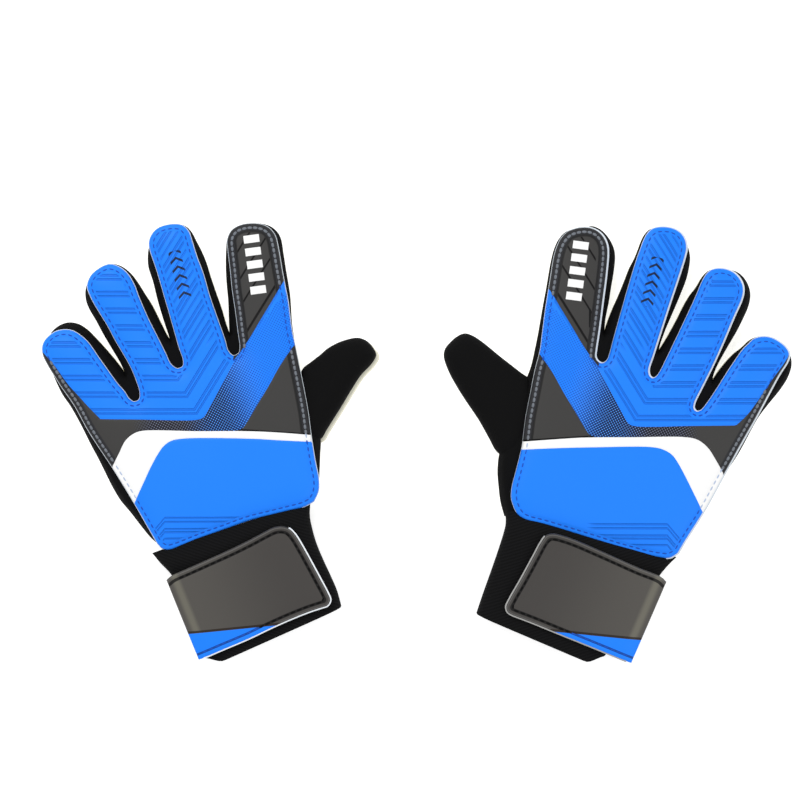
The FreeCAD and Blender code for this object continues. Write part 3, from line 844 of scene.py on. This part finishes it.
def finger_lines(s, depth):
    """Pairs of grooves across the fingers that turn up along the knuckle panel's slanted edge."""
    turned = s.line_sum(*KNUCKLE_SLANT)
    level = s.op("MINIMUM", s.y, turned)
    pitch = FINGER_GROOVE_PITCH
    pairs = s.add(s.stripes(level, pitch, 17.2, 0.28, 0.45), s.stripes(level, pitch, 15.2, 0.22, 0.45))
    slanted = s.ramp(s.op("SUBTRACT", s.y, turned), -0.2, 0.2)
    more = s.times(s.stripes(level, pitch, 20.5, 0.2, 0.4), slanted, s.ramp(s.y, 48.0, 54.0), 0.8)
    reach = s.times(s.ramp(s.y, 12.6, 13.2), s.ramp(depth, 3.3, 4.0))
    return s.times(s.most(pairs, more), reach)


def wrist_lines(s, depth):
    """Grooves near the lower edge of the wrist panel that turn down at their ends."""
    turned = s.line_sum(*WRIST_GROOVE_ENDS)
    level = s.op("MAXIMUM", s.y, turned)
    lines = s.near_any(level, WRIST_GROOVES, 0.2, 0.4)
    reach = s.times(s.ramp(s.y, -34.5, -35.5), s.ramp(s.x, 4.0, -2.0), s.ramp(depth, 3.0, 3.6))
    return s.times(lines, reach)


def finger_marks(s):
    """Small dark chevrons along the middle finger."""
    along_it = s.along(MIDDLE_TURN)
    across = s.op("ABSOLUTE", s.add(s.along(MIDDLE_TURN - 90), 9.0))
    arrow = s.stripes(s.add(along_it, s.times(across, 0.7)), CHEVRON_PITCH, 0.6, 0.55, 0.25)
    ends = s.times(s.ramp(along_it, 75.6, 76.0), s.ramp(along_it, 101.2, 100.8))
    return s.times(arrow, s.ramp(across, 3.3, 3.0), ends)


def blue_panel():
    s = Shader("blue_panel", rough=0.45, specular=0.14)
    depth = s.depth()
    lines = s.most(finger_lines(s, depth), wrist_lines(s, depth))
    # The grooves are painted darker blue: painted shade in them, on top of their relief
    colour = s.mix(s.times(lines, 0.6), BLUE, GROOVE_SHADE_BLUE)
    colour = s.mix(finger_marks(s), colour, (0.01, 0.02, 0.06, 1))
    height = s.add(s.times(lines, -1.0), s.times(s.noise(2.2), 0.08))
    s.finish(colour, height, 0.8, 0.0007)


def index_lines(s, depth):
    """Slanted grooves over the index finger."""
    level = s.line_sum(-1.6, 1.0, 0.0)
    lines = s.most(s.near(level, INDEX_BASE_GROOVE, 0.75, 0.5), s.near_any(level, INDEX_GROOVES, 0.5, 0.5))
    upright = s.times(s.near(s.x, 1.5, 0.3, 0.3), s.ramp(s.y, 61.0, 61.6), s.ramp(s.y, 70.6, 69.8))
    lines = s.times(lines, s.ramp(s.x, -1.6, -1.0))
    return s.times(s.most(lines, upright), s.ramp(depth, 4.4, 4.9))


def index_bars(s):
    """Plain white bars across the index finger."""
    along_it = s.along(INDEX_TURN)
    across = s.op("ABSOLUTE", s.add(s.along(INDEX_TURN - 90), -19.6))
    bars = s.stripes(along_it, BAR_PITCH, 74.8, 1.85, 0.2)
    ends = s.times(s.ramp(along_it, 71.4, 71.8), s.ramp(along_it, 104.2, 103.8))
    return s.times(bars, s.ramp(across, 4.0, 3.8), ends)


def grey_panel():
    s = Shader("grey_panel", rough=0.5, specular=0.12)
    depth = s.depth()
    on_index = s.times(s.ramp(s.y, 44.0, 46.0), s.ramp(s.x, -20.0, -19.0))
    bars = s.times(index_bars(s), on_index)
    lines = s.times(index_lines(s, depth), on_index, s.add(1.0, s.times(bars, -1.0)))
    hem = s.times(s.near(depth, 4.1, 0.3, 0.4), s.ramp(s.y, 3.0, 4.0), 0.6)
    shade = s.times(s.ramp(depth, 4.6, 3.6), s.ramp(s.y, 4.5, 5.5))
    colour = s.mix(s.times(shade, 0.55), GREY, SHADED)
    # A painted shadow line along the white band's top edge, painted near black
    band_shadow = s.times(s.near(s.line_sum(*BAND_SHADOW_LINE), 0.0, 0.35, 0.3), s.ramp(s.x, -2.0, 0.0))
    # The grooves over the index and the groove inside the hem are painted near black: painted shade in them
    colour = s.mix(s.most(s.times(lines, 0.95), s.most(hem, band_shadow)), colour, BLACK)
    colour = s.mix(bars, colour, WHITE)
    height = s.add(s.times(s.noise(2.5), 0.12), s.times(bars, 0.5))
    height = s.add(height, s.times(s.most(lines, hem), -1.0))
    s.finish(colour, height, 0.7, 0.0007)


def printed_panel():
    """A dotted print: blue by the index finger, blue dots towards the middle, grey by the little finger."""
    s = Shader("printed_panel", rough=0.5, specular=0.12)
    depth = s.depth()
    far = s.ramp(s.line_sum(-0.9, -0.35, 0.0), -26.0, 3.0)
    grey = s.ramp(s.x, -10.0, -30.0)
    raster = s.add(*(s.wave(s.along(turn), RASTER_PITCH) for turn in (RASTER_TURN, RASTER_TURN - 90)))
    cut = s.add(s.times(far, 1.5), -0.6)
    dots = s.ramp(raster, s.add(cut, -0.6), s.add(cut, 0.6))
    base = s.mix(far, (0.006, 0.1, 0.6, 1), (0.006, 0.014, 0.06, 1))
    colour = s.mix(dots, base, s.mix(far, BLUE, (0.08, 0.3, 0.85, 1)))
    quiet = s.mix(dots, (0.012, 0.012, 0.016, 1), (0.15, 0.17, 0.25, 1))
    quiet = s.mix(s.ramp(s.x, -42.0, -54.0), quiet, GREY)
    colour = s.mix(grey, colour, quiet)
    shade = s.times(s.ramp(depth, 4.4, 3.8), s.ramp(s.x, -45.0, -50.0))
    colour = s.mix(s.times(shade, 0.55), colour, SHADED)
    s.finish(colour, s.add(s.noise(2.5), s.times(dots, 0.3)), 0.15, 0.0004)


def plain(name, colour, rough, grain=2.5, strength=0.12, specular=0.25):
    s = Shader(name, rough=rough, specular=specular)
    s.finish(colour, s.noise(grain, 4.0), strength, 0.0004)


def knit(name, colour, pitch):
    s = Shader(name, rough=0.9, specular=0.1)
    s.finish(colour, s.times(s.wave(s.x, pitch), s.wave(s.y, pitch)), 0.25, 0.0003)


def ribbed():
    s = Shader("cuff_elastic", rough=0.9, specular=0.1)
    ribs = s.wave(s.along(RIB_TURN), RIB_PITCH)
    threads = s.wave(s.along(RIB_TURN + 90), CUFF_THREAD_PITCH)
    # The rib crests are painted slightly lighter than the hollows: a painted highlight
    colour = s.mix(s.times(s.add(ribs, 1.0), 0.5), BLACK, (0.0065, 0.0065, 0.007, 1))
    s.finish(colour, s.add(ribs, s.times(threads, 0.3)), 0.22, 0.0004)


def strap_skin():
    """Grey leather with a blue wedge, a dark hem along its free edges, a painted highlight by the fold and
    painted sheen that fades to darker grey away from it.
    """
    s = Shader("strap_panel", rough=0.42, specular=0.12)
    hem, from_fold = s.split(s.uv("edge"))
    above_wedge = s.line_sum(-WEDGE_SLOPE, 1.0, -WEDGE_LEVEL)
    wedge = s.ramp(above_wedge, 0.0, -0.3)
    seam = s.near(above_wedge, 0.5, 0.45, 0.3)
    # A painted highlight where the strap bends down at the fold
    fold_highlight = s.near(from_fold, 4.6, 0.4, 2.6)
    # The grey is painted lighter near the fold and darker away from it: painted sheen
    field = s.mix(s.ramp(from_fold, 2.0, 60.0), (0.082, 0.077, 0.07, 1), (0.056, 0.052, 0.049, 1))
    field = s.mix(s.times(fold_highlight, 0.8), field, (0.15, 0.143, 0.115, 1))
    black_hem = s.near(hem, STRAP_HEM, 0.62, 0.3)
    pale_line = s.near(hem, 0.7, 0.1, 0.2)
    grey = s.mix(s.times(black_hem, 0.92), field, DARK)
    grey = s.mix(s.times(pale_line, 0.35), grey, (0.2, 0.2, 0.2, 1))
    grey = s.mix(s.times(seam, 0.85), grey, (0.02, 0.012, 0.008, 1))
    blue = s.mix(s.times(s.near(hem, STRAP_HEM, 0.45, 0.3), 0.9), BLUE, NIGHT_BLUE)
    colour = s.mix(wedge, grey, blue)
    height = s.add(s.times(s.noise(2.5), 0.2), s.times(s.most(seam, pale_line), -1.0))
    s.finish(colour, height, 0.3, 0.0004)


def materials():
    blue_panel()
    grey_panel()
    printed_panel()
    strap_skin()
    ribbed()
    for name, colour, rough in PLAIN_MATERIALS:
        plain(name, colour, rough)
    plain("latex_foam", CREAM, 0.9, grain=6.0, strength=0.3)
    knit("black_textile", BLACK, 1.1)
    knit("black_knit", BLACK, 0.9)
    plain("hook_tape", BLACK, 0.9, grain=9.0, strength=0.8)
    plain("black_thread", BLACK, 0.7, specular=0.08)


# ---- the glove's layers

HAND_NODES = {
    "blue_panel": ("knuckle_panel", "blue_panel"),
    "printed_panel": ("printed_patch", "printed_panel"),
    "grey_patch": ("thumb_side_patch", "grey_panel"),
    "white_band": ("white_band", "white_band"),
    "blue_wrist": ("wrist_panel", "blue_panel"),
}
SHOWN = {"grey_patch": "grey_panel", "blue_wrist": "blue_panel"}


def field_names(glove, plan):
    """The welded field that each plan point of the backhand belongs to."""
    names = np.full(len(plan), "blue_panel", dtype="<U16")
    outside = [(-2.5, 41.5), (4, 52), (60, 120), (80, 120), (80, -120), (-140, -120), (-140, 60)]
    below_knuckle = inside(plan, np.vstack([glove.knuckle_edge, outside]))
    names[below_knuckle] = "printed_panel"
    beyond = inside(plan, np.vstack([glove.print_edge, [(-2, -30), (80, -30), (80, 52)]]))
    names[beyond & below_knuckle] = "grey_patch"
    names[inside(plan, np.vstack([glove.band_top, [(-68, -100), (80, -100), (80, 4.4)]]))] = "white_band"
    names[inside(plan, np.vstack([glove.band_low, [(-57, -100), (80, -100), (80, 1.0)]]))] = "blue_wrist"
    index_top = [(-3, 41.5), (-3.2, 48), (-9, 60), (-14, 125), (40, 125), (40, 90)]
    names[inside(plan, np.vstack([glove.diagonal, index_top]))] = "grey_panel"
    return names


def back_height(glove, plan, depth):
    """Top of the backhand: padded, dipping at its seam, grooved between its fields."""
    height = PANEL_EDGE + PANEL_PUFF * (1 - np.exp(-depth / 4.0))
    height -= rounded(depth, 0.9)
    height -= SEAM_DIP * np.exp(-(((depth - SEAM_INSET) / 0.8) ** 2))
    gap = np.min([distance(plan, line, False) for line in glove.lines()], axis=0)
    height -= FIELD_GAP_DIP * np.exp(-((gap / 0.45) ** 2))
    return height + 0.25 * np.sin(plan[:, 0] * 0.11 + 1.0) * np.sin(plan[:, 1] * 0.09)


def back_pieces(glove):
    """The padded backhand with its pale foam edge."""
    plan, faces = fill(glove.back, 2.0, (0.2, 0.5, 0.9, 1.5, 2.3, 3.1, 4.2), glove.lines())
    depth = distance(plan, glove.back)
    top = back_height(glove, plan, depth)
    fields = field_names(glove, plan[faces].mean(1))
    layer = Layer()
    wide = glove.shape["foam_shows"]
    rows = [(0.06, 0.3), (0.1, 0.5), (wide, 0.62), (wide, 1.4), (0.15, 2.0)]
    kinds = ["rim", "rim", "foam_edge", "foam_edge", "foam_edge"]
    sheet_between(layer, plan, faces, depth, top, None, rows, list(fields), kinds)
    for row in layer.points[3:]:
        row[:, 0] += glove.shape["foam_lean"]
    at = np.vstack(layer.plan)
    middles = np.array([at[list(f)].mean(0) for f in layer.faces])
    groups = field_names(glove, middles)
    kinds = [group if kind == "rim" else kind for kind, group in zip(layer.materials, groups)]
    layer.materials = [SHOWN.get(kind, kind) for kind in kinds]
    zones = glove.hand_zones(middles)
    hand_fields = np.where(groups == "grey_panel", "printed_panel", groups)
    zones = np.where(zones == "hand", hand_fields, zones)
    for zone, obj in make_pieces(glove, layer, "back", lambda middles: zones).items():
        if zone in HAND_NODES:
            node, slot = HAND_NODES[zone]
        else:
            node = segment(zone) + "_back"
            slot = "grey_panel" if zone.startswith("index") else "blue_panel"
        stands_for(obj, slot, f"{glove.side}_{node}", fill=PAD_FILL)


def body_pieces(glove):
    """The black gussets with the latex palm under them."""
    loop = closed(glove.shape["body"])
    plan, faces = fill(loop, 3.0, (0.3, 0.8, 1.6, 2.6, 3.8))
    depth = distance(plan, loop)
    top = BODY_TOP - 7.4 * (1 - smooth_step(depth, -2.6, 3.4))
    layer = Layer()
    rows = [(0.15, 0.6), (0.25, 1.2), (0.1, 3.2), (0.0, 4.05), (-0.15, 4.3), (-0.1, 5.6)]
    kinds = ["black_textile"] * 4 + ["latex_foam"] * 2
    sheet_between(
        layer, plan, faces, depth, top, rounded(depth, 1.6), rows, "black_textile", kinds, "latex_foam"
    )
    for zone, obj in make_pieces(glove, layer, "body", glove.hand_zones).items():
        if zone == "hand":
            nodes = (glove.side + "_palm_latex", glove.side + "_hand_liner")
            stands_for(obj, "latex_foam", *nodes, fill=PAD_FILL)
        else:
            stands_for(obj, "gusset_and_latex", f"{glove.side}_{segment(zone)}_sleeve", fill=PAD_FILL)


def thumb_pieces(glove):
    """The thumb's latex front and its knitted cover."""
    loop = closed([glove.shape["thumb"] + glove.shape["thumb"][:1]])
    outwards = loop_normals(loop)
    toward = np.clip(outwards @ np.array([-0.78, 0.63]), 0, 1)
    wide = loop - outwards * (glove.shape["latex_shows"] * toward - 0.15)[:, None]
    for label, outline, kind in (("latex", wide, "latex_foam"), ("cover", loop, "black_knit")):
        plan, faces = fill(outline, 2.0, (0.3, 0.8, 1.6, 2.8, 4.2))
        depth = distance(plan, outline)
        layer = Layer()
        if label == "latex":
            top = THUMB_LATEX_TOP - rounded(depth, 0.8)
            low = rounded(depth, 1.4)
            rows = [(0.1, 1.2), (0.1, 2.4)]
        else:
            puff = np.sqrt(1 - (1 - np.clip(depth / 8.5, 0, 1)) ** 2)
            top = THUMB_EDGE + (THUMB_TOP - THUMB_EDGE) * puff
            top = np.minimum(top, THUMB_TOP - 0.8 * np.clip((42.0 - plan[:, 0]) / 10.0, 0, 1))
            low = None
            rows = [(0.15, 1.0), (0.0, 2.6)]
        sheet_between(layer, plan, faces, depth, top, low, rows, kind)
        for zone, obj in make_pieces(glove, layer, "thumb_" + label, thumb_zones).items():
            stands_for(obj, kind, f"{glove.side}_{segment(zone)}_{label}", fill=THUMB_FILL)


def tube_row(left, right, tuck, wall, bulge, push):
    """A ring of points round a flat oval section between two plan points."""
    across = unit(right - left)
    down = np.array([across[1], -across[0]])
    half = np.linalg.norm(right - left) / 2 - wall
    rise = CUFF_HEIGHT / 2 - tuck - wall
    turn = 2 * math.pi * np.arange(CUFF_SIDES) / CUFF_SIDES
    share = np.sign(np.cos(turn)) * np.abs(np.cos(turn)) ** 0.35
    z = np.sign(np.sin(turn)) * np.abs(np.sin(turn)) ** 0.75 * rise
    u = (share + 1) / 2
    swell = bulge * (1 - u) * smooth_step(u, 0.0, 0.13) + push
    spots = (left + right) / 2 + across * (share * half)[:, None] + down * swell[:, None]
    return np.column_stack([spots, CUFF_HEIGHT / 2 + z])


def cuff_pieces(glove):
    """An open elastic tube with a turned hem."""
    lefts = resampled(spline(glove.shape["cuff_left"]), CUFF_ROWS)
    rights = resampled(spline(glove.shape["cuff_right"]), CUFF_ROWS)
    last = CUFF_ROWS - 1
    order = [(k, 0.0, 0.0) for k in range(CUFF_ROWS)] + [(last, 0.5, 0.45), (last, 1.4, 0.35)]
    order += [(k, CUFF_WALL, 0.0) for k in range(last, 3, -1)]
    rings = []
    for k, wall, push in order:
        share = k / last
        tuck = 2.2 * math.exp(-((share / 0.09) ** 2))
        rings.append(tube_row(lefts[k], rights[k], tuck, wall, glove.shape["hem_bulge"] * share**3, push))
    layer = Layer()
    layer.tube(rings, "cuff_elastic")
    point, direction = np.array(WRIST[:2])

    def zones(middle):
        return np.where((middle - point) @ direction > CUFF_START, "cuff", "wrist")

    for obj in make_pieces(glove, layer, "cuff", zones).values():
        stands_for(obj, "cuff_elastic", glove.side + "_cuff")


def strap_height(plan, loop, free, from_fold):
    """Top of the strap: rounded at its edge, dipping at its seam, bending down at the fold."""
    bend = 2.0 * (1 - np.sqrt(1 - (1 - np.clip(from_fold / FOLD_REACH, 0, 1)) ** 2))
    dip = 0.3 * np.exp(-((distance(plan, free, False) - STRAP_HEM) ** 2))
    return STRAP_OVER - rounded(distance(plan, loop), 0.7) - dip - bend


def strap_seam(glove, layer, loop, free):
    """Black stitches along the strap's free edges, blue ones on its wedge."""
    for run in stretches_inside(loop, STRAP_HEM):
        path = even(run, STITCH_PITCH)
        from_fold = (path - glove.fold[0]) @ glove.from_fold
        high = strap_height(path, loop, free, from_fold) + 0.1
        middles = (path[1:] + path[:-1]) / 2
        on_wedge = middles[:, 1] - WEDGE_SLOPE * middles[:, 0] < WEDGE_LEVEL
        for k in np.flatnonzero(from_fold[:-1] > 3.5):
            gap = (path[k + 1] - path[k]) * 0.12
            thread = "blue_thread" if on_wedge[k] else "black_thread"
            start, end = path[k] + gap, path[k + 1] - gap
            stitch(layer, (*start, high[k]), (*end, high[k + 1]), THREAD, thread)


def piping(glove, layer, path):
    """A cord sewn under the strap's edge."""
    inward = np.gradient(path, axis=0)
    inward = np.column_stack([inward[:, 1], -inward[:, 0]]) / np.linalg.norm(inward, axis=1)[:, None]
    turns = np.linspace(0, 2 * math.pi, 8, endpoint=False)
    rings = []
    for point, side in zip(path, inward):
        centre = np.array([*(point - side * 0.1), STRAP_OVER - 0.9])
        rings.append(centre + 0.5 * np.column_stack([np.outer(np.cos(turns), side), np.sin(turns)]))
    layer.tube(rings, glove.side + "_piping")


def strap_pieces(glove):
    """The leather strap with its seam, piping, hook patch, and root round the edge of the cuff."""
    shape = glove.shape
    fold = glove.fold
    loop = closed([shape["strap_top"], shape["strap_low"], [fold[0], fold[1]]])
    free = np.vstack([spline(shape["strap_top"]), spline(shape["strap_low"])])
    plan, faces = fill(loop, 2.0, (0.25, 0.6, 1.2, 2.0, 2.8, 3.6))
    hem = distance(plan, free, False)
    from_fold = np.maximum((plan - fold[0]) @ glove.from_fold, 0)
    top = strap_height(plan, loop, free, from_fold)
    layer = Layer()
    deep = np.column_stack([hem, from_fold])
    low = np.minimum(STRAP_UNDER, top - 1.4)
    rows = [(0.12, 0.6), (0.1, 1.2)]
    sheet_between(layer, plan, faces, deep, top, low, rows, "strap_panel", low_kind="hook_tape")
    strap_seam(glove, layer, loop, free)
    piping(glove, layer, free[np.argmax(free[:, 0] > 24.0) : -3])

    def zones(middle):
        return np.where((middle - fold[1]) @ glove.from_fold > FOLD_REACH, "strap", "strap_root")

    for obj in make_pieces(glove, layer, "strap", zones).values():
        stands_for(obj, "strap_panel", glove.side + "_strap")
    hook_patch(glove)
    strap_root(glove)


def hook_patch(glove):
    """The patch of hook tape under the strap's tip."""
    corners = [(16, -49), (24, -48), (38.5, -74.5), (18, -84), (16, -49)]
    loop = closed([[a, b] for a, b in zip(corners, corners[1:])])
    plan, faces = fill(loop, 2.5, (0.4, 1.0))
    depth = distance(plan, loop)
    layer = Layer()
    top = np.full(len(plan), STRAP_UNDER + 0.1)
    low = np.full(len(plan), STRAP_UNDER - 0.6)
    sheet_between(layer, plan, faces, depth, top, low, [(0.05, 0.3)], "hook_tape")
    for obj in make_pieces(glove, layer, "hook", "strap").values():
        stands_for(obj, "hook_tape", glove.side + "_hook_patch")


def strap_root(glove):
    """The sewn end of the strap, wrapped down over the edge of the cuff."""
    line = spline([glove.fold[1], glove.fold[0]], 1.5)
    outs = (0.9, 0.15, -0.1, -0.1, 0.1, 0.8, 2.5, 16.0)
    heights = (18.2, 17.8, 17.0, 12.0, 4.0, 1.6, 0.9, 0.9)
    layer = Layer()
    rows = [
        np.column_stack([line + glove.from_fold * out, np.full(len(line), height)])
        for out, height in zip(outs, heights)
    ]
    layer.tube(rows, "strap_panel", is_loop=False)
    make_pieces(glove, layer, "strap_base", "cuff")


def stretches_inside(loop, inset):
    """The open runs of a line drawn a set distance inside a loop."""
    row = loop + loop_normals(loop) * inset
    kept = distance(row, loop) > 0.95 * inset
    runs, run = [], []
    for point, good in zip(row, kept):
        if good:
            run.append(point)
            continue
        runs.append(run)
        run = []
    runs.append(run)
    return [np.array(r) for r in runs if len(r) > 4]


def stitches(glove):
    """Blue thread along the seam of the coloured fields, a grey chain stitch on the grey ones and a pale
    thread on the white band."""
    layer = Layer()
    for run in stretches_inside(glove.back, SEAM_INSET):
        for pitch, kind, radius, gap in (
            (STITCH_PITCH, "blue_thread", THREAD, 0.14),
            (CHAIN_PITCH, "chain_thread", CHAIN_THREAD, 0.03),
        ):
            path = even(run, pitch)
            starts, ends = path[:-1], path[1:]
            middles = (starts + ends) / 2
            fields = field_names(glove, middles)
            grey = np.isin(fields, ("grey_panel", "grey_patch"))
            grey |= (fields == "printed_panel") & (middles[:, 0] < -20)
            shown = grey if kind == "chain_thread" else ~grey
            a = starts + (ends - starts) * gap
            b = ends - (ends - starts) * gap
            high_a = back_height(glove, a, distance(a, glove.back))
            high_b = back_height(glove, b, distance(b, glove.back))
            for k in np.flatnonzero(shown):
                thread = "pale_thread" if fields[k] == "white_band" else kind
                stitch(layer, (*a[k], high_a[k]), (*b[k], high_b[k]), radius, thread)
    make_pieces(glove, layer, "thread", glove.hand_zones)


def build(side):
    glove = Glove(side)
    body_pieces(glove)
    back_pieces(glove)
    thumb_pieces(glove)
    cuff_pieces(glove)
    strap_pieces(glove)
    stitches(glove)


# ---- stage

def area_light(name, at, size, power):
    light = bpy.data.lights.new(name, "AREA")
    light.shape = "DISK"
    light.size = size
    light.energy = power
    obj = placed(name, light)
    obj.location = at
    obj.rotation_euler = (-Vector(at)).to_track_quat("-Z", "Y").to_euler()


def floor_sheet():
    mesh = bpy.data.meshes.new("floor")
    mesh.from_pydata([(-3, -3, 0), (3, -3, 0), (3, 3, 0), (-3, 3, 0)], [], [(0, 1, 2, 3)])
    floor = placed("floor", mesh)
    floor.location = (0, 0, -0.0004)
    paper = bpy.data.materials.new("floor_paper")
    paper.use_nodes = True
    shader = paper.node_tree.nodes["Principled BSDF"].inputs
    shader["Base Color"].default_value = (0.7, 0.7, 0.7, 1)
    shader["Roughness"].default_value = 0.9
    shader["Emission Color"].default_value = (1, 1, 1, 1)
    shader["Emission Strength"].default_value = 0.6
    mesh.materials.append(paper)


def stage():
    scene = bpy.context.scene
    floor_sheet()
    world = bpy.data.worlds.new("studio")
    world.use_nodes = True
    background = world.node_tree.nodes["Background"].inputs
    background["Color"].default_value = (1, 1, 1, 1)
    background["Strength"].default_value = 0.75
    scene.world = world
    area_light("key", at=(-0.35, 0.55, 0.9), size=0.5, power=5.0)
    area_light("fill", at=(0.6, -0.3, 0.9), size=0.8, power=2.2)
    camera = bpy.data.cameras.new("camera")
    camera.lens = CAMERA_LENS
    camera.sensor_width = 36
    scene.camera = placed("camera", camera)
    scene.camera.location = CAMERA_AT
    scene.view_settings.view_transform = "Standard"


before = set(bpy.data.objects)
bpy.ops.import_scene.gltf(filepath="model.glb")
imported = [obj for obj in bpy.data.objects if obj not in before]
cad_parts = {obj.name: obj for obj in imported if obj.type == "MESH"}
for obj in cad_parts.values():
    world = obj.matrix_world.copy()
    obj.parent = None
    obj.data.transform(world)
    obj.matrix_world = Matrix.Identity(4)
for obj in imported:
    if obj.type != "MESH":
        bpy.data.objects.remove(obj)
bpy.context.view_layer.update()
materials()
for side in GLOVES:
    build(side)
stage()
